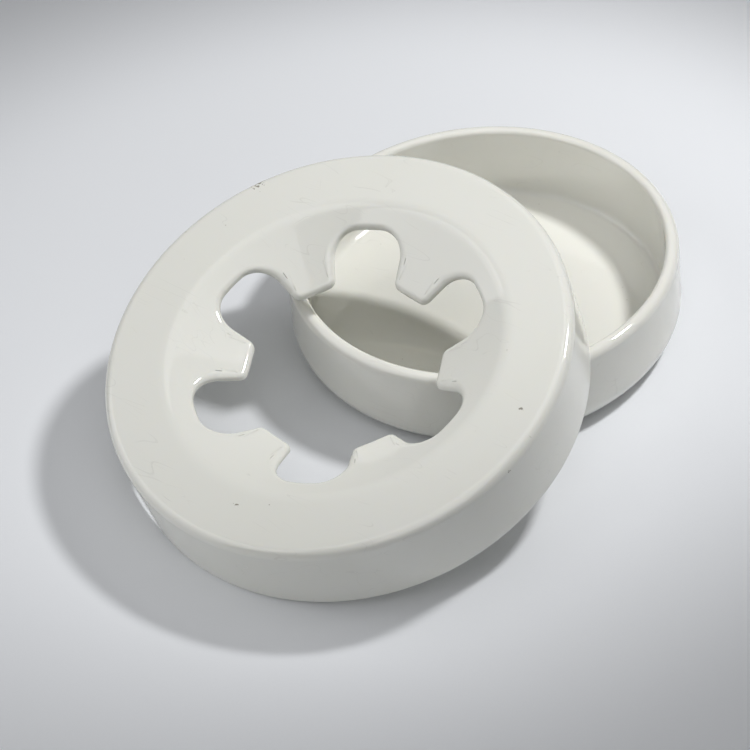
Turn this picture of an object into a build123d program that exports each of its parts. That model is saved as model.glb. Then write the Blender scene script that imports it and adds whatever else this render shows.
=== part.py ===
"""A two-piece table ashtray: a round dish and a loose ring-shaped cover.

The cover is a shallow turned-down cap with a six-lobed opening.  Its six teeth
slope down towards the middle.  Here it leans against the dish: one point of its
skirt stands on the table and two points rest on the rim of the dish.

Millimetres, +Z up.  The origin is the centre of the dish's foot, on the table.
The cover leans along Y: its low side is towards -Y, its high side over the dish.
"""
import os
from math import cos, degrees, hypot, pi, radians, sin, tan

from build123d import *

# ---------------------------------------------------------------- dish
dish_height = 51.0          # table to the top of the rim
dish_rim_radius = 107.5     # outside of the wall, at the rim
dish_base_radius = dish_rim_radius + 1.5    # the same, carried straight to the table
dish_wall = 7.4             # wall thickness at the rim
dish_floor = 6.5            # thickness of the floor
dish_heel_round = 16.5      # the large rounding from the wall to the foot
dish_rim_outer_round = 4.5  # the rim is round: a wide outer shoulder ...
dish_rim_inner_round = dish_wall - dish_rim_outer_round  # ... and a tight inner one
dish_inside_round = 4.0     # wall to floor, inside

# ---------------------------------------------------------------- cover
cover_radius = 125.0        # outside of the skirt at the top
cover_flare = 0.5           # how much wider the skirt is at its lower edge
cover_height = 46.5         # skirt's lower edge to the flat top
cover_wall = 4.0            # the same wall in the top, the skirt and the teeth
cover_edge_round = 5.0      # top to skirt, outside
cover_inside_round = 2.5    # the same corner, inside
skirt_lip_round = 1.4       # rounding of the skirt's lower edge
flat_inner_radius = 91.0    # the flat top ends here and the slope begins
slope_angle = 25.8          # slope of the teeth below the flat, in degrees
slope_blend = 18.0          # radius of the soft bend from the flat to the slope

# ---------------------------------------------------------------- opening
lobe_count = 6
tip_reach = 52.2            # from the axis to the straight end of each tooth
lobe_reach = flat_inner_radius - 11.7       # from the axis to the outer end of a lobe
lobe_mouth_half = 16.8      # half the width of a lobe at its mouth
lobe_end_half = 19.5        # half the width of a lobe near its outer end
lobe_mouth_at = tip_reach   # the two widths are measured at these distances
lobe_end_at = lobe_reach - 7.3
lobe_corner = 13.5          # rounding at the two outer corners of a lobe
tip_corner = 5.0            # rounding at the two corners of a tooth
opening_top_round = 3.3     # soft upper edge all round the opening
opening_low_round = 0.9     # lower edge all round the opening

# ---------------------------------------------------------------- how it leans
cover_offset = 113.5        # dish axis to the middle of the cover's lower edge
cover_turn = -6.0           # a tooth's direction, counted from the low side
lean_gap = 0.3              # clearance between the two pieces where they meet
lean_steps = 720            # points looked at round the cover's lower edge


def rounded_section(corners):
    """A closed half section, right of the axis: (r, z, rounding) for each corner."""
    with BuildSketch(Plane.XZ) as section:
        with BuildLine():
            Polyline(*[(r, z) for r, z, _ in corners], close=True)
        make_face()
        for r, z, rounding in corners:
            if rounding:
                corner = min(section.vertices(), key=lambda v: hypot(v.X - r, v.Y - z))
                fillet(corner, rounding)
    return section.sketch


def make_dish():
    """The dish: foot, heel, wall, rim and floor, turned once round the axis."""
    inner = dish_rim_radius - dish_wall
    section = rounded_section([
        (0, 0, 0),
        (dish_base_radius, 0, dish_heel_round),
        (dish_rim_radius, dish_height, dish_rim_outer_round),
        (inner, dish_height, dish_rim_inner_round),
        (inner, dish_floor, dish_inside_round),
        (0, dish_floor, 0),
    ])
    return revolve(section, Axis.Z, 360)


def make_cover_blank():
    """The cover before its opening is cut: skirt, edge, flat ring and slope."""
    low = cover_radius + cover_flare
    slope = radians(slope_angle)
    under = cover_height - cover_wall
    cut = 0.75 * tip_reach      # the slope is carried in this far, then cut back
    drop = (flat_inner_radius - cut) * tan(slope)
    # the slope's lower face is parallel to its upper one
    knee = flat_inner_radius + cover_wall * tan(slope / 2)
    section = rounded_section([
        (low, 0, skirt_lip_round),
        (cover_radius, cover_height, cover_edge_round),
        (flat_inner_radius, cover_height, slope_blend),
        (cut, cover_height - drop, 0),
        (cut, cover_height - drop - cover_wall / cos(slope), 0),
        (knee, under, slope_blend - cover_wall),
        (cover_radius - cover_wall, under, cover_inside_round),
        (low - cover_wall, 0, skirt_lip_round),
    ])
    return revolve(section, Axis.Z, 360)


def opening_outline():
    """Plan of the opening: a hexagon for the teeth, and a lobe over each corner."""
    spread = (lobe_end_half - lobe_mouth_half) / (lobe_end_at - lobe_mouth_at)

    def flank(y):
        """Half the lobe's width at a distance y from the axis."""
        return lobe_mouth_half + spread * (y - lobe_mouth_at)

    inside, outside = 0.6 * tip_reach, 1.2 * lobe_reach
    with BuildSketch() as plan:
        with BuildSketch(mode=Mode.PRIVATE) as lobe:
            with BuildLine():
                Polyline(
                    (-flank(inside), inside), (flank(inside), inside),
                    (flank(outside), outside), (-flank(outside), outside), close=True,
                )
            make_face()
            Circle(lobe_reach, mode=Mode.INTERSECT)
            outer = [v for v in lobe.vertices() if v.Y > lobe_end_at - lobe_corner]
            fillet(outer, lobe_corner)
        with PolarLocations(0, lobe_count):
            add(lobe.sketch.rotate(Axis.Z, -90))
        RegularPolygon(tip_reach / cos(pi / lobe_count), lobe_count, rotation=0)
        corners = [v for v in plan.vertices()
                   if hypot(v.X, v.Y) < (tip_reach + lobe_end_at) / 2]
        fillet(corners, tip_corner)
    return plan.sketch


def opening_edges(cover, depth):
    """The edges round the opening that lie this far below the slope's upper face."""
    found = []
    for edge in cover.edges():
        point = edge @ 0.5
        r = hypot(point.X, point.Y)
        slope_z = cover_height - (flat_inner_radius - r) * tan(radians(slope_angle))
        if r < lobe_reach + 1 and abs(slope_z - point.Z - depth) < cover_wall / 20:
            found.append(edge)
    return found


def make_cover():
    """The cover upright: the middle of its lower edge at 0, one tooth along -Y."""
    cover = make_cover_blank() - extrude(opening_outline(), cover_height + 1)
    cover = fillet(opening_edges(cover, 0), opening_top_round)
    upright_wall = cover_wall / cos(radians(slope_angle))
    return fillet(opening_edges(cover, upright_wall), opening_low_round)


def rim_gap(x, y, z):
    """Distance from a point to the round top of the dish's rim."""
    crest = dish_rim_radius - dish_rim_outer_round
    r = hypot(x, y)
    ball = dish_rim_outer_round if r > crest else dish_rim_inner_round
    return hypot(r - crest, z - (dish_height - ball)) - ball


def foot_height(lean):
    """Height of the middle of the cover's lower edge when its low side is on the table."""
    bead = cover_radius + cover_flare - skirt_lip_round
    return skirt_lip_round * (1 - cos(lean)) + bead * sin(lean)


def lip_gap(lean):
    """Least distance from the cover's rounded lower edge to the rim, lean in radians."""
    base = cover_radius + cover_flare
    gaps = []
    for bead in (base - skirt_lip_round, base - cover_wall + skirt_lip_round):
        for step in range(lean_steps):
            a = 2 * pi * step / lean_steps
            x = bead * cos(a)
            y = bead * sin(a) * cos(lean) - skirt_lip_round * sin(lean) - cover_offset
            z = bead * sin(a) * sin(lean) + skirt_lip_round * cos(lean) + foot_height(lean)
            gaps.append(rim_gap(x, y, z) - skirt_lip_round)
    return min(gaps)


def find_lean():
    """The cover is let down from steep until it clears the rim by only lean_gap."""
    high = radians(60)
    while lip_gap(high - radians(1)) > lean_gap:
        high -= radians(1)
    low = high - radians(1)
    for _ in range(30):
        middle = (low + high) / 2
        if lip_gap(middle) < lean_gap:
            low = middle
        else:
            high = middle
    return high


dish = make_dish()
lean = find_lean()
cover = (
    Pos(0, -cover_offset, foot_height(lean))
    * Rot(degrees(lean), 0, 0)
    * Rot(0, 0, cover_turn)
    * make_cover()
)

parts = {"dish": dish, "cover": cover}
os.makedirs("parts", exist_ok=True)
for name, solid in parts.items():
    solid.label = name
    export_step(solid, f"parts/{name}.step")
    box = solid.bounding_box()
    print(name, f"{solid.volume / 1000:.1f} cm3", tuple(box.min), tuple(box.max))
print(f"lean {degrees(lean):.3f} degrees, cover centre {foot_height(lean):.3f} mm up")
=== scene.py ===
# %% [markdown]
# # A two-piece table ashtray in moulded melamine
#
# The object is two loose pieces: a round dish, and a ring-shaped cover that leans
# on it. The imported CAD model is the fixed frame, and says where each piece is.
# Blender makes the surfaces smooth enough for a glossy finish, adds the finish
# itself, and sets up a floor, lights and a camera. First the frame is loaded, and
# its box is kept, because the finished pieces have to fill the same box.

# %% Load the frame
import math

import bpy
import numpy as np
from mathutils import Matrix, Vector


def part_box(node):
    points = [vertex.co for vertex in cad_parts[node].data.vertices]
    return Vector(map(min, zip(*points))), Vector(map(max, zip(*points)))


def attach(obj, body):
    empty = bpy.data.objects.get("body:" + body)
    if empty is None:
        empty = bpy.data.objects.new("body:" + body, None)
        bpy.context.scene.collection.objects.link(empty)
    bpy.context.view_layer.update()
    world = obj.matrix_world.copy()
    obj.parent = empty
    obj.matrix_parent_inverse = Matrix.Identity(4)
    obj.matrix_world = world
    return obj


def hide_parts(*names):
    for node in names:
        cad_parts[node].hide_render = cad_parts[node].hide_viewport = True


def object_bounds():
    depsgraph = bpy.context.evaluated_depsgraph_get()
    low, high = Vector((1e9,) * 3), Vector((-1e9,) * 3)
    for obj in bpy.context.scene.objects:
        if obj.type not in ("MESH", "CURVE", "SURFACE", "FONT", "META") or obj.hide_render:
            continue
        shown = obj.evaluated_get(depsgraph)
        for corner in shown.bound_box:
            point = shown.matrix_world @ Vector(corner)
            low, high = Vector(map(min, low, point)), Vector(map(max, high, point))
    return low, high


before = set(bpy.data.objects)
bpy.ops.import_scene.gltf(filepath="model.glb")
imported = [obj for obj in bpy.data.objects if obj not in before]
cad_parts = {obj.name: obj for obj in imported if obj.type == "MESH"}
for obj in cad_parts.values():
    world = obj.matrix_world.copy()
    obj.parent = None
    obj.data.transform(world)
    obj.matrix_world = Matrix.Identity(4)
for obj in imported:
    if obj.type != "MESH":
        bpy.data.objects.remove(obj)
cad_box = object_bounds()
MM = 0.001
CM3 = 0.001                  # one cubic millimetre, in cubic centimetres
print("CAD box in mm:", [[round(v / MM, 2) for v in corner] for corner in cad_box])

# %% [markdown]
# ## Sizes
#
# Outside sizes are read from the frame. What can't be read from a box, such as
# the wall and the roundings, is named here in millimetres. These are the same
# driving sizes as the CAD model's, so a surface made from them lies on its solid.

# %% Sizes that the boxes don't give, in mm
DISH_WALL = 7.4             # at the rim
DISH_FLOOR = 6.5
DISH_HEEL = 16.5            # the large rounding from the wall to the foot
DISH_RIM = 107.5            # outside of the wall, at the rim
DISH_BASE = DISH_RIM + 1.5  # the same, carried straight down to the table
RIM_OUTER_ROUND = 4.5
RIM_INNER_ROUND = DISH_WALL - RIM_OUTER_ROUND
DISH_INSIDE_ROUND = 4.0

COVER_FLARE = 0.5           # the skirt widens by this much towards its lower edge
COVER_WALL = 4.0
COVER_EDGE_ROUND = 5.0
COVER_INSIDE_ROUND = 2.5
LIP_ROUND = 1.4
FLAT_INNER = 91.0           # the flat ring ends here and the slope begins
SLOPE = math.radians(25.8)
SLOPE_BLEND = 18.0

LOBES = 6
LOBE_REACH = 79.3
LOBE_HALF_AT = ((52.2, 16.8), (72.0, 19.5))   # distance from the axis, half width
LOBE_CORNER = 13.5
TIP_REACH = 52.2
TIP_CORNER = 5.0
OPENING_TOP_ROUND = 3.3
ROLL_AT_TOOTH = 1.15        # the upper edge rolls this many times as far in as down
ROLL_AT_LOBE = 1.9          # at a tooth's end, and at a lobe's outer end
ROLL_MARGIN = 3.0           # the change between the two keeps this far off both ends
OPENING_LOW_ROUND = 0.9

# %% [markdown]
# ## Where the cover is
#
# The cover leans, so its box alone doesn't say how. Its own mesh does. The flat
# ring on top is by far its largest plane, so the faces that share the commonest
# upward normal give the cover's axis and the middle of the ring. The six teeth
# reach nearest to that axis, and their directions give how far the cover is
# turned. Measuring it here keeps the new surface on the solid if the CAD changes.

# %% Measure the cover's axis, middle, height and turn
def triangles_of(piece):
    """Corner positions of an object's triangles, in mm, as an array (n, 3, 3)."""
    mesh = piece.data
    mesh.calc_loop_triangles()
    points = np.empty(len(mesh.vertices) * 3)
    mesh.vertices.foreach_get("co", points)
    index = np.empty(len(mesh.loop_triangles) * 3, dtype=np.int64)
    mesh.loop_triangles.foreach_get("vertices", index)
    return points.reshape(-1, 3)[index].reshape(-1, 3, 3) / MM


def largest_plane(triangles):
    """Unit normal and centre of the largest upward plane: faces are weighed by area,
    and the normal whose near neighbours weigh the most wins."""
    cross = np.cross(triangles[:, 1] - triangles[:, 0], triangles[:, 2] - triangles[:, 0])
    area = np.linalg.norm(cross, axis=1) / 2
    keep = (area > 1e-9) & (cross[:, 2] > 0)
    normal = cross[keep] / (2 * area[keep])[:, None]
    order = np.argsort(-area[keep])[:400]
    weight = np.array([area[keep][normal @ normal[i] > 0.99999].sum() for i in order])
    best = normal[order[weight.argmax()]]
    flat = normal @ best > 0.99999
    mean = (normal[flat] * area[keep][flat][:, None]).sum(axis=0)
    centre = triangles[keep][flat].mean(axis=1)
    centre = (centre * area[keep][flat][:, None]).sum(axis=0) / area[keep][flat].sum()
    return mean / np.linalg.norm(mean), centre


cover_triangles = triangles_of(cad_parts["cover"])
cover_axis, ring_centre = largest_plane(cover_triangles)
corners = cover_triangles.reshape(-1, 3)
across = np.cross(cover_axis, (1.0, 0.0, 0.0))
across /= np.linalg.norm(across)
cover_frame = np.stack([np.cross(across, cover_axis), across, cover_axis], axis=1)
local = (corners - ring_centre) @ cover_frame
reach = np.hypot(local[:, 0], local[:, 1])
cover_height = -local[:, 2].min()
cover_lower_radius = reach.max()
tips = local[reach < TIP_REACH + 0.5]
turns = np.exp(1j * LOBES * np.arctan2(tips[:, 1], tips[:, 0])).mean()
tooth_turn = np.angle(turns) / LOBES
print("cover axis", np.round(cover_axis, 4), "lean", round(math.degrees(math.acos(cover_axis[2])), 3))
print("ring centre", np.round(ring_centre, 2), "height", round(float(cover_height), 3),
      "lower radius", round(float(cover_lower_radius), 3), "turn", round(math.degrees(tooth_turn), 2))

# %% [markdown]
# ## Profiles with rounded corners
#
# Both pieces are turned shapes, so each starts as a half section in the plane of
# the axis. A section could be drawn as a spline, but a spline wanders between its
# points. A polygon whose corners are replaced by arcs gives true flats and true
# roundings, which is what a reflection shows first on a glossy surface.

# %% Helper: a polygon with rounded corners, evenly sampled
def spread(start, end, spacing):
    """Points on the straight way from start up to, not including, end. The first and
    last step are short, so an arc's shading doesn't run out over the flat beside it."""
    length = np.linalg.norm(np.subtract(end, start))
    margin = min(0.4 / length, 0.25)
    count = max(2, math.ceil(length / spacing))
    step = np.concatenate([[0], np.linspace(margin, 1 - margin, count)])[:, None]
    return np.asarray(start) + step * np.subtract(end, start)


def rounded(corners, straight=6.0, turn=math.radians(9)):
    """Points along a chain with each corner (r, z, rounding) replaced by the arc
    tangent to both its sides: it starts rounding / tan(half the corner) from it."""
    points = np.array([c[:2] for c in corners], dtype=float)
    before, after = np.roll(points, 1, axis=0), np.roll(points, -1, axis=0)
    runs = []
    for (r, z, size), a, b in zip(corners, before, after):
        here = np.array((r, z))
        u = (a - here) / np.linalg.norm(a - here)
        v = (b - here) / np.linalg.norm(b - here)
        inside = math.acos(np.clip(u @ v, -1, 1))
        if size == 0:
            runs.append(here[None])
            continue
        reach = size / math.tan(inside / 2)
        middle = here + (u + v) / np.linalg.norm(u + v) * size / math.sin(inside / 2)
        steps = max(3, math.ceil((math.pi - inside) / turn))
        swing = np.linspace(0, math.pi - inside, steps + 1)[:, None]
        side = (here + u * reach - middle) / size
        runs.append(middle + size * (np.cos(swing) * side - np.sin(swing) * u))
    line = []
    for run, following in zip(runs, runs[1:]):
        line += [run[:-1], spread(run[-1], following[0], straight)]
    return np.concatenate(line + [runs[-1]])


# %% Helper: a grid of points as a smooth mesh
def grid_object(name, grid, caps=False):
    """A mesh from grid[i, j]: row i, closed round j, where the rows run outwards
    underneath and back on top. The last row joins the first, unless caps is set:
    then the first and last rows are each one point on the axis."""
    rows, columns = grid.shape[:2]
    column = np.arange(columns)
    beside = (column + 1) % columns
    if caps:
        points = np.concatenate([grid[0, :1], grid[1:-1].reshape(-1, 3), grid[-1, :1]])
        first, last = 1, len(points) - 1 - columns
        row = np.arange(rows - 3)[:, None] * columns + 1
        above = row + columns
        fans = [(0, first + b, first + a) for a, b in zip(column, beside)]
        fans += [(len(points) - 1, last + a, last + b) for a, b in zip(column, beside)]
    else:
        points = grid.reshape(-1, 3)
        row = np.arange(rows)[:, None] * columns
        above = np.roll(row, -1, axis=0)
        fans = []
    quads = [row + column, row + beside, above + beside, above + column]
    faces = np.stack(quads, axis=-1).reshape(-1, 4).tolist() + fans
    mesh = bpy.data.meshes.new(name)
    mesh.from_pydata((points * MM).tolist(), [], faces)
    mesh.polygons.foreach_set("use_smooth", np.ones(len(faces), dtype=bool))
    mesh.update()
    made = bpy.data.objects.new(name, mesh)
    bpy.context.collection.objects.link(made)
    print(name, len(points), "points,", len(faces), "faces")
    return made

# %% [markdown]
# ## The dish
#
# The real dish is one moulding with an upright wall that leans in slightly towards
# a round rim, and a large soft heel where the wall meets the foot. It could be
# modelled from a cylinder with bevels, but the heel and the rim have different
# roundings, so it is turned: a half section is carried round the axis. The section
# starts and ends on the axis, where the rows shrink to single closing points.

# %% Make the dish
low, high = np.array(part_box("dish")) / MM
dish_height = high[2] - low[2]
dish_inner = DISH_RIM - DISH_WALL
dish_section = rounded([
    (0, 0, 0),
    (DISH_BASE, 0, DISH_HEEL),
    (DISH_RIM, dish_height, RIM_OUTER_ROUND),
    (dish_inner, dish_height, RIM_INNER_ROUND),
    (dish_inner, DISH_FLOOR, DISH_INSIDE_ROUND),
    (0, DISH_FLOOR, 0),
])
print("dish", round(high[0] - low[0], 2), "mm across,", round(dish_height, 2), "mm high")


def turned(section, columns):
    """Each point (r, z) of a section becomes a circle: r cos a, r sin a, z."""
    a = np.linspace(0, 2 * np.pi, columns, endpoint=False)
    r, z = section[:, :1], section[:, 1:]
    return np.stack([r * np.cos(a), r * np.sin(a), z + 0 * a], axis=-1)


DISH_COLUMNS = 480
dish = grid_object("dish_moulding", turned(dish_section, DISH_COLUMNS), caps=True)

# %% [markdown]
# ## The cover's opening
#
# The opening is the cover's whole character: six straight-ended teeth between six
# rounded slots. A boolean cut would give it too, but leaves ragged faces that show
# in a gloss. Here the outline is written once, for half a slot, from its lines and
# arcs, then mirrored and turned six times. Each point also carries the direction
# into the material, so that the soft edges can be built by stepping that way.

# %% Outline of the opening
def arc(centre, radius, start, stop, into=1.0, count=40):
    """Points on an arc, and their directions into the material: away from the
    arc's centre where into is 1, and towards it where it is -1."""
    a = np.linspace(start, stop, count)
    out = np.stack([np.cos(a), np.sin(a)], axis=1)
    return np.asarray(centre) + radius * out, into * out


def half_slot():
    """Half a slot whose axis is +X, from the middle of a tooth's end at -30 degrees.
    In order: tooth's end, its corner arc, flank, slot's corner arc, slot's end."""
    half_step = math.pi / LOBES
    c, s = math.cos(half_step), math.sin(half_step)
    (x0, h0), (x1, h1) = LOBE_HALF_AT
    m = (h1 - h0) / (x1 - x0)
    # the tooth's end is the line c x - s y = TIP_REACH, the flank y = -(h0 + m (x - x0))
    x = (TIP_REACH - s * (h0 - m * x0)) / (c + m * s)
    corner = np.array((x, -(h0 + m * (x - x0))))
    along = np.array((1.0, -m)) / math.hypot(1, m)
    into_slot = np.array((m, 1.0)) / math.hypot(1, m)
    along_tip = np.array((s, c))
    # tooth's corner: the arc tangent to both lines, its middle inside the tooth
    inside = math.acos(-along_tip @ along)
    reach = TIP_CORNER / math.tan(inside / 2)
    tip_end, flank_start = corner - reach * along_tip, corner + reach * along
    tooth_middle = flank_start - TIP_CORNER * into_slot
    a0 = math.atan2(*(tip_end - tooth_middle)[::-1])
    a1 = math.atan2(*(flank_start - tooth_middle)[::-1])
    # slot's corner: a slot-corner radius off the flank, and as far in from the end
    base = corner + LOBE_CORNER * into_slot
    b = base @ along
    t = -b + math.sqrt(b * b - base @ base + (LOBE_REACH - LOBE_CORNER) ** 2)
    slot_middle = base + t * along
    flank_end = slot_middle - LOBE_CORNER * into_slot
    b0 = math.atan2(*(-into_slot)[::-1])
    b1 = math.atan2(*slot_middle[::-1])
    tip_middle = TIP_REACH * np.array((c, -s))
    parts = [
        (np.array([tip_middle, tip_end]), np.array([(c, -s)] * 2)),
        arc(tooth_middle, TIP_CORNER, a0, a1, into=-1.0),
        (np.array([flank_start, flank_end]), np.array([-into_slot] * 2)),
        arc(slot_middle, LOBE_CORNER, b0, b1),
        arc((0, 0), LOBE_REACH, b1, 0),
    ]
    return [np.concatenate(p) for p in zip(*parts)]


def opening_outline(columns):
    """The whole outline, evenly spaced along its length: points, directions into the
    material, and the even angle each column has on the circles farther out."""
    points, into = half_slot()
    mirror = np.array((1, -1))
    points = np.concatenate([points, points[-2::-1] * mirror])
    into = np.concatenate([into, into[-2::-1] * mirror])
    length = np.concatenate([[0], np.cumsum(np.linalg.norm(np.diff(points, axis=0), axis=1))])
    even = np.arange(columns // LOBES) * LOBES / columns * length[-1]
    px, py, nx, ny = (np.interp(even, length, v) for v in (*points.T, *into.T))
    turn = np.exp(1j * (tooth_turn + math.pi / LOBES + np.arange(LOBES) * 2 * np.pi / LOBES))
    point = ((px + 1j * py) * turn[:, None]).ravel()
    normal = ((nx + 1j * ny) * turn[:, None]).ravel()
    angle = tooth_turn + np.arange(columns) * 2 * np.pi / columns
    return point, normal / np.abs(normal), angle


COLUMNS = 780
outline, inward, column_angle = opening_outline(COLUMNS)
print("opening outline", round(float(np.abs(outline - np.roll(outline, 1)).sum()), 1), "mm round")

# %% [markdown]
# ## The cover's faces
#
# Seen in section, the cover is a wall of even thickness: skirt, rounded edge, flat
# ring, a soft bend and the slope that carries the teeth. Its upper and lower faces
# are parallel, so one formula gives both. The soft edge round the opening is what a
# ball leaves when it rolls along the corner between the slope and the upright cut.

# %% Heights of the upper and lower face
def face_height(r, depth):
    """Height of the face that lies depth under the outer one, at a distance r from
    the axis: flat outside, sloping inside, joined by an arc about one shared centre."""
    bend = SLOPE_BLEND - depth
    centre = FLAT_INNER + SLOPE_BLEND * math.tan(SLOPE / 2)
    top = cover_height - SLOPE_BLEND
    slope_z = top + bend / math.cos(SLOPE) - (centre - r) * math.tan(SLOPE)
    arc_z = top + np.sqrt(np.maximum(bend ** 2 - (centre - r) ** 2, 0))
    inner = centre - bend * math.sin(SLOPE)
    return np.where(r < inner, slope_z, np.where(r < centre, arc_z, top + bend))


def edge_rows(radius, depth, side, count=11, roll=1.0):
    """Rows of the rounded edge from the upright cut to a face. Across the edge the face
    climbs by g per mm, so a ball of this radius that touches both has its middle a
    radius in from the cut and radius * sqrt(1 + g * g) off the face. Each row's gap to
    that straight climb is taken off the true height, so it ends exactly on the face.
    With roll over 1 the ball is drawn out sideways, and the edge becomes a soft lip."""
    g = math.tan(SLOPE) * (inward * outline.conj()).real / np.abs(outline)
    tilt = np.arctan(roll * g)
    stop = np.pi / 2 + tilt if side > 0 else 3 * np.pi / 2 + tilt
    swing = np.pi + np.linspace(0, 1, count)[:, None] * (stop - np.pi)
    step = roll * radius * (1 + np.cos(swing))
    middle = side * radius / np.cos(tilt) - roll * g * radius
    gap = g * step + middle - radius * np.sin(swing)
    plan = outline + step * inward
    return plan, face_height(np.abs(plan), depth) - gap

# %% [markdown]
# ## The cover
#
# The rows run once round the wall: up the cut, over its soft edge, across the upper
# face to the flat ring, down the skirt, round its lip, and back underneath. Laid in
# the opposite order they run outwards underneath, as the mesh helper needs. Between
# the six-lobed outline and the round part each row is a blend of the two, lifted to
# the face's height, so that no crease shows where they meet. The first and last rows
# join, which makes the wall one closed skin.

# %% Make the cover
def blend_rows(plan, circle, depth, count):
    """Rows from a plan curve out to a circle, at t = 0 ... 1 of the straight way
    between them, each at the height of its face."""
    t = np.linspace(0, 1, count)[:, None]
    rows = plan + t * (circle - plan)
    return rows, face_height(np.abs(rows), depth)


RING_START = 95.6            # the bend has ended, and all rows are circles from here
TOP_ROWS, UNDER_ROWS = 28, 16
flare_low = cover_lower_radius
flare_top = cover_lower_radius - COVER_FLARE
under = cover_height - COVER_WALL
ring_section = rounded([
    (RING_START, cover_height, 0),
    (flare_top, cover_height, COVER_EDGE_ROUND),
    (flare_low, 0, LIP_ROUND),
    (flare_low - COVER_WALL, 0, LIP_ROUND),
    (flare_top - COVER_WALL, under, COVER_INSIDE_ROUND),
    (RING_START, under, 0),
])
around = np.exp(1j * column_angle)
roll_way = LOBE_REACH - TIP_REACH - 2 * ROLL_MARGIN
outward = np.clip((np.abs(outline) - TIP_REACH - ROLL_MARGIN) / roll_way, 0, 1)
outward = outward ** 2 * (3 - 2 * outward)
lip_roll = ROLL_AT_TOOTH + (ROLL_AT_LOBE - ROLL_AT_TOOTH) * outward
top_edge, top_edge_z = edge_rows(OPENING_TOP_ROUND, 0, +1, roll=lip_roll)
low_edge, low_edge_z = edge_rows(OPENING_LOW_ROUND, COVER_WALL, -1, count=5)
top_blend, top_blend_z = blend_rows(top_edge[-1], RING_START * around, 0, TOP_ROWS)
low_blend, low_blend_z = blend_rows(low_edge[-1], RING_START * around, COVER_WALL, UNDER_ROWS)
ring, ring_z = ring_section[:, :1] * around, ring_section[:, 1:] + 0 * column_angle
cut = np.linspace(0, 1, 4)[1:-1, None]
cut_z = low_edge_z[0] + cut * (top_edge_z[0] - low_edge_z[0])
plan = np.concatenate([
    outline + 0 * cut, top_edge, top_blend[1:-1], ring, low_blend[-2:0:-1], low_edge[::-1],
])
height = np.concatenate([
    cut_z, top_edge_z, top_blend_z[1:-1], ring_z, low_blend_z[-2:0:-1], low_edge_z[::-1],
])
upright = np.stack([plan.real, plan.imag, height - cover_height], axis=-1)
cover = grid_object("cover_moulding", ring_centre + upright[::-1] @ cover_frame.T)

# %% Check both surfaces against their boxes
def volume(piece):
    """Signed volume in cm3: one sixth of the sum of a . (b x c) over its triangles.
    It is positive when the faces point outwards."""
    a, b, c = triangles_of(piece).transpose(1, 0, 2)
    return float((a * np.cross(b, c)).sum() / 6 * CM3)


for piece, node in ((dish, "dish"), (cover, "cover")):
    corners = np.array([v.co for v in piece.data.vertices])
    apart = np.abs(np.array([corners.min(axis=0), corners.max(axis=0)]) - np.array(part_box(node)))
    print(node, "volume", round(volume(piece), 1), "CAD", round(volume(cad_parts[node]), 1),
          "cm3, box differs by at most", round(float(apart.max()) / MM, 3), "mm,",
          len(piece.data.loop_triangles), "triangles")

# %% [markdown]
# ## Hand the pieces to the frame
#
# Each new surface replaces the CAD node that it was worked out from, and rides on
# that node's body. So the cover lifts off as the joint says, and takes its own
# surface with it.

# %% Tie each piece to its body
for piece, node in ((dish, "dish"), (cover, "cover")):
    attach(piece, node)
    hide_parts(node)

# %% [markdown]
# ## Melamine
#
# Both pieces are melamine, pressed in polished moulds: hard, creamy white and very
# glossy, with a body colour that reaches the surface. The eye knows it from glazed
# pottery by its even gloss and by its wear: hairline scratches, dull scuffed patches
# and dark specks where an edge was knocked. The cream isn't quite even either. One
# function builds the finish, and each piece says how worn it is and where.

# %% Helpers for colours and nodes
def srgb(code):
    """An sRGB hex colour as linear red, green, blue, alpha."""
    parts = [int(code[i:i + 2], 16) / 255 for i in (1, 3, 5)]
    return [p / 12.92 if p <= 0.04045 else ((p + 0.055) / 1.055) ** 2.4 for p in parts] + [1.0]


def node(material, kind, settings=None, inputs=None):
    """Add a node: settings are its own fields, and inputs are its sockets by name or
    number, each with a value or with another node's output to link."""
    tree = material.node_tree
    made = tree.nodes.new(kind)
    for field, value in (settings or {}).items():
        setattr(made, field, value)
    for socket, value in (inputs or {}).items():
        if isinstance(value, bpy.types.NodeSocket):
            tree.links.new(value, made.inputs[socket])
        else:
            made.inputs[socket].default_value = value
    return made


# %% [markdown]
# Melamine's pattern sizes come from real ones: a hairline scratch is a few hundredths
# of a millimetre wide and is drawn a few tenths wide, as thin as it can be and still
# show; specks are half a millimetre; scuffs are patches a few centimetres across.
# A scratch is where a stretched noise crosses its middle value, so it comes out as a
# thin wandering line, and a second, coarser noise leaves only short lengths of it.

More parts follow.
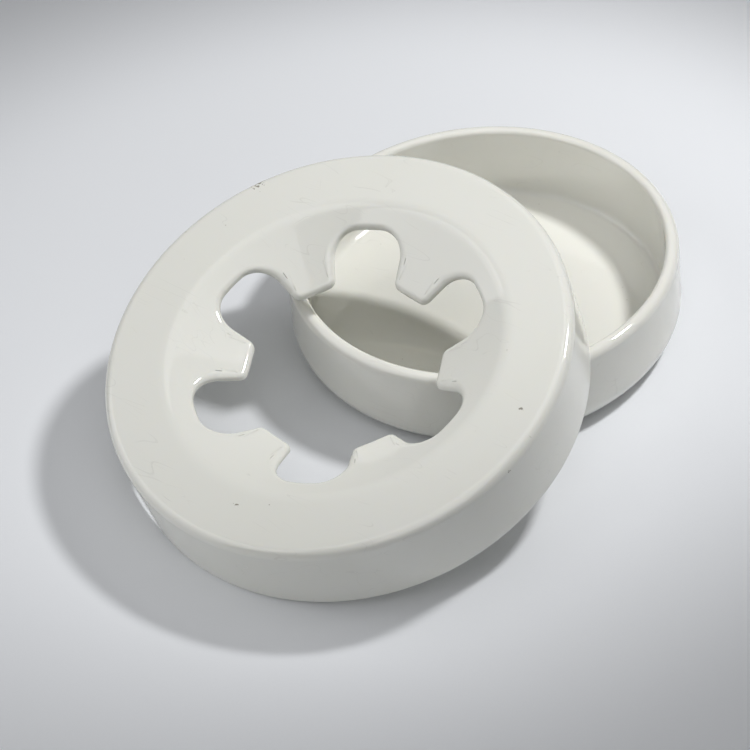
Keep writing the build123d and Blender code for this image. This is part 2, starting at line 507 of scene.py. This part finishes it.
# %% The melamine finish
def scratches(material, where, direction, length, spacing, keep):
    """A mask of hairlines: noise stretched along one direction, 1 where its value lies
    within a hair of the middle, kept only where a coarse noise is above keep."""
    turned_to = node(material, "ShaderNodeMapping", inputs={
        "Vector": where,
        "Rotation": (0.0, 0.0, math.radians(direction)),
        "Scale": (1 / (length * MM), 1 / (spacing * MM), 1 / (spacing * MM)),
    })
    fine = node(material, "ShaderNodeTexNoise", {"noise_dimensions": "3D"}, {
        "Vector": turned_to.outputs["Vector"], "Scale": 1.0, "Detail": 0.0,
    })
    off = node(material, "ShaderNodeMath", {"operation": "SUBTRACT"}, {
        0: fine.outputs["Fac"], 1: 0.5,
    })
    apart = node(material, "ShaderNodeMath", {"operation": "ABSOLUTE"}, {0: off.outputs[0]})
    line = node(material, "ShaderNodeMapRange", {"interpolation_type": "SMOOTHSTEP"}, {
        "Value": apart.outputs[0], "From Min": 0.0, "From Max": 0.010,
        "To Min": 1.0, "To Max": 0.0,
    })
    patch = node(material, "ShaderNodeTexNoise", {"noise_dimensions": "3D"}, {
        "Vector": where, "Scale": 1 / (0.6 * length * MM), "Detail": 1.0,
    })
    kept = node(material, "ShaderNodeMapRange", {"interpolation_type": "SMOOTHSTEP"}, {
        "Value": patch.outputs["Fac"], "From Min": keep, "From Max": keep + 0.06,
    })
    both = node(material, "ShaderNodeMath", {"operation": "MULTIPLY"}, {
        0: line.outputs[0], 1: kept.outputs[0],
    })
    return both.outputs[0]


def mixed(material, amount, first, second):
    """A colour between two others, by a mask from 0 to 1."""
    made = node(material, "ShaderNodeMix", {"data_type": "RGBA"}, {0: amount, 6: first, 7: second})
    return made.outputs[2]


def speckled(material, where, colour, strength):
    """The colour with a few dark specks, where a Voronoi point happens to lie within
    half a millimetre of the surface."""
    speck = node(material, "ShaderNodeTexVoronoi", inputs={"Vector": where, "Scale": 1 / (17 * MM)})
    dot = node(material, "ShaderNodeMapRange", {"interpolation_type": "SMOOTHSTEP"}, {
        "Value": speck.outputs["Distance"], "From Min": 0.016, "From Max": 0.030,
        "To Min": strength, "To Max": 0.0,
    })
    return mixed(material, dot.outputs[0], colour, srgb("#8a7f6c"))


def knocked(material, where, colour, knocks):
    """The colour with dark crumbs of wear close to each knock, a point with a radius:
    a fine noise has to be the stronger, the farther it is from the knock."""
    crumb = node(material, "ShaderNodeTexNoise", inputs={
        "Vector": where, "Scale": 1 / (1.6 * MM), "Detail": 2.0,
    })
    for point, radius in knocks:
        far = node(material, "ShaderNodeVectorMath", {"operation": "DISTANCE"}, {
            0: where, 1: tuple(point * MM),
        })
        level = node(material, "ShaderNodeMath", {"operation": "MULTIPLY_ADD"}, {
            0: far.outputs["Value"], 1: -0.22 / (radius * MM), 2: crumb.outputs["Fac"],
        })
        chip = node(material, "ShaderNodeMapRange", {"interpolation_type": "SMOOTHSTEP"}, {
            "Value": level.outputs[0], "From Min": 0.40, "From Max": 0.46,
            "To Min": 0.0, "To Max": 0.75,
        })
        colour = mixed(material, chip.outputs[0], colour, srgb("#77705f"))
    return colour


def hairlines(material, where):
    """A mask of three sets of scratches, each shorter, denser and rarer than the last."""
    total = scratches(material, where, 35, 70, 9, 0.56)
    for direction, length, spacing, keep in ((-50, 45, 7, 0.60), (80, 30, 5, 0.62)):
        more = scratches(material, where, direction, length, spacing, keep)
        either = node(material, "ShaderNodeMath", {"operation": "MAXIMUM"}, {0: total, 1: more})
        total = either.outputs[0]
    return total


def melamine(name, cream, shade, wear, roughness, knocks):
    """Moulded melamine: cream with a faint cloudiness in a second shade, specks and
    knocks, and a polished surface with scuffed patches and hairlines. Wear from 0 to 1
    makes all of its marks stronger; roughness is that of the unworn surface."""
    material = bpy.data.materials.new(name)
    material.use_nodes = True
    shader = material.node_tree.nodes["Principled BSDF"]
    where = node(material, "ShaderNodeTexCoord").outputs["Object"]
    cloud = node(material, "ShaderNodeTexNoise", inputs={
        "Vector": where, "Scale": 1 / (60 * MM), "Detail": 2.0,
    })
    colour = mixed(material, cloud.outputs["Fac"], srgb(cream), srgb(shade))
    colour = speckled(material, where, colour, 0.55 * wear)
    colour = knocked(material, where, colour, knocks)
    total = hairlines(material, where)
    faint = node(material, "ShaderNodeMath", {"operation": "MULTIPLY"}, {0: total, 1: 0.16 * wear})
    colour = mixed(material, faint.outputs[0], colour, srgb("#9a958c"))
    material.node_tree.links.new(colour, shader.inputs["Base Color"])
    scuff = node(material, "ShaderNodeTexNoise", inputs={
        "Vector": where, "Scale": 1 / (35 * MM), "Detail": 5.0, "Roughness": 0.6,
    })
    dull = node(material, "ShaderNodeMapRange", inputs={
        "Value": scuff.outputs["Fac"], "From Min": 0.45, "From Max": 0.75,
        "To Min": roughness, "To Max": roughness + 0.08 * wear,
    })
    rough = node(material, "ShaderNodeMath", {"operation": "MULTIPLY_ADD"}, {
        0: total, 1: 0.25 * wear, 2: dull.outputs[0],
    })
    material.node_tree.links.new(rough.outputs[0], shader.inputs["Roughness"])
    wave = node(material, "ShaderNodeTexNoise", inputs={
        "Vector": where, "Scale": 1 / (22 * MM), "Detail": 1.0,
    })
    uneven = node(material, "ShaderNodeBump", inputs={
        "Height": wave.outputs["Fac"], "Strength": 0.04, "Distance": 1.0 * MM,
    })
    cut = node(material, "ShaderNodeBump", {"invert": True}, {
        "Height": total, "Strength": 0.15 * wear, "Distance": 0.05 * MM,
        "Normal": uneven.outputs["Normal"],
    })
    material.node_tree.links.new(cut.outputs["Normal"], shader.inputs["Normal"])
    shader.inputs["IOR"].default_value = 1.65     # melamine resin is denser than glass
    shader.inputs["Subsurface Weight"].default_value = 0.08
    shader.inputs["Subsurface Radius"].default_value = (1.0, 0.8, 0.5)
    shader.inputs["Subsurface Scale"].default_value = 1.5 * MM
    return material


def on_cover(out, degrees, below=0.0):
    """A point of the cover, in mm: out from its axis, round from +X, below its top."""
    a = math.radians(degrees)
    return ring_centre + cover_frame @ (out * math.cos(a), out * math.sin(a), -below)


knocks = [
    (on_cover(121.5, 147, 1.0), 4.5),     # a chipped patch on the far left edge
    (on_cover(111, 6), 1.3),
    (on_cover(123, 0, 1.5), 1.5),
    (on_cover(124.5, -9, 5.0), 1.3),
    (on_cover(102, -83), 1.3),
]
dish.data.materials.append(melamine("dish_melamine", "#f1f1eb", "#efeee6", 0.5, 0.015, []))
cover.data.materials.append(melamine("cover_melamine", "#f0f0ea", "#eeeee6", 1.0, 0.03, knocks))

# %% [markdown]
# ## The table, the light and the view
#
# The object stands on a plain, very pale, slightly cool sheet. The key is a round
# light a span wide, high behind on the right: it throws the shadows forward and left
# with soft edges, and shows as the small highlights on the gloss. Its pool of light
# is limited, so the sheet darkens gently beyond it. Three large soft lights fill the
# shadows and give the gloss broad, quiet things to reflect.

# %% Floor
FLOOR_HALF = 2500 * MM
mesh = bpy.data.meshes.new("table_sheet")
mesh.from_pydata([(-FLOOR_HALF, -FLOOR_HALF, 0), (FLOOR_HALF, -FLOOR_HALF, 0),
                  (FLOOR_HALF, FLOOR_HALF, 0), (-FLOOR_HALF, FLOOR_HALF, 0)], [], [(0, 1, 2, 3)])
floor = bpy.data.objects.new("table_sheet", mesh)
bpy.context.collection.objects.link(floor)
paper = bpy.data.materials.new("matt_white_card")
paper.use_nodes = True
place = node(paper, "ShaderNodeTexCoord").outputs["Object"]
fibre = node(paper, "ShaderNodeTexNoise", inputs={"Vector": place, "Scale": 1 / (1.2 * MM), "Detail": 3.0})
tone = mixed(paper, fibre.outputs["Fac"], srgb("#e9ebef"), srgb("#eceef1"))
paper_shader = paper.node_tree.nodes["Principled BSDF"]
paper.node_tree.links.new(tone, paper_shader.inputs["Base Color"])
paper_shader.inputs["Roughness"].default_value = 0.55
paper_shader.inputs["Specular IOR Level"].default_value = 0.25
mesh.materials.append(paper)

# %% Lights
def shine(name, kind, azimuth, elevation, distance, watts, aim=None):
    """A lamp that looks at aim, or at the middle of the object, from a direction given
    as degrees from +X towards +Y and degrees up. Returns its data for further settings."""
    data = bpy.data.lights.new(name, kind)
    data.energy = watts
    a, e = math.radians(azimuth), math.radians(elevation)
    out = Vector((math.cos(e) * math.cos(a), math.cos(e) * math.sin(a), math.sin(e)))
    lamp = bpy.data.objects.new(name, data)
    lamp.location = middle + distance * out
    away = lamp.location - (middle if aim is None else aim)
    lamp.rotation_euler = away.to_track_quat("Z", "Y").to_euler()
    bpy.context.collection.objects.link(lamp)
    print(name, "at", [round(v, 2) for v in lamp.location])
    return data


corner_low, corner_high = (Vector(c) for c in cad_box)
middle = (corner_low + corner_high) / 2
pool = Vector((-64, 12, 0)) * MM     # the middle of the key's pool of light on the table
key = shine("key", "SPOT", 59.8, 53.8, 1.35, 47, pool)
key.shadow_soft_size = 0.09
key.spot_size, key.spot_blend = math.radians(28.3), 0.46
for name, azimuth, elevation, distance, watts, size in (
    ("overhead", 0, 88, 1.6, 4.6, 1.4),
    ("fill_left", 224, 29, 2.0, 17.0, 2.2),
    ("fill_right", 320, 45, 1.8, 5.0, 1.3),
):
    soft = shine(name, "AREA", azimuth, elevation, distance, watts)
    soft.shape, soft.size = "SQUARE", size
world = bpy.data.worlds.new("studio_walls")
world.use_nodes = True
walls = world.node_tree.nodes["Background"]
walls.inputs["Color"].default_value = srgb("#dfe4ea")
walls.inputs["Strength"].default_value = 0.03
bpy.context.scene.world = world

# %% Camera
# The eye stands high on the object's right front and looks at a point between the two
# pieces; the frame is turned a little, so that the leaning cover is the level thing.
VIEW_AZIMUTH, VIEW_HEIGHT, VIEW_ROLL = 43.16, 43.41, 7.38
VIEW_DISTANCE, VIEW_LENS, SENSOR_WIDTH = 1346.3, 121.9, 36.0
aim = Vector((2.2 * MM, middle.y - 31.5 * MM, 35 * MM))
a, e = math.radians(VIEW_AZIMUTH), math.radians(VIEW_HEIGHT)
back = Vector((math.sin(a) * math.cos(e), -math.cos(a) * math.cos(e), math.sin(e)))
camera = bpy.data.objects.new("view", bpy.data.cameras.new("view"))
camera.data.lens, camera.data.sensor_width = VIEW_LENS, SENSOR_WIDTH
turn = back.to_track_quat("Z", "Y").to_matrix() @ Matrix.Rotation(-math.radians(VIEW_ROLL), 3, "Z")
camera.matrix_world = Matrix.Translation(aim + VIEW_DISTANCE * MM * back) @ turn.to_4x4()
bpy.context.collection.objects.link(camera)
bpy.context.scene.camera = camera
bpy.context.scene.view_settings.view_transform = "Standard"
print("camera at", [round(v / MM, 1) for v in camera.location])
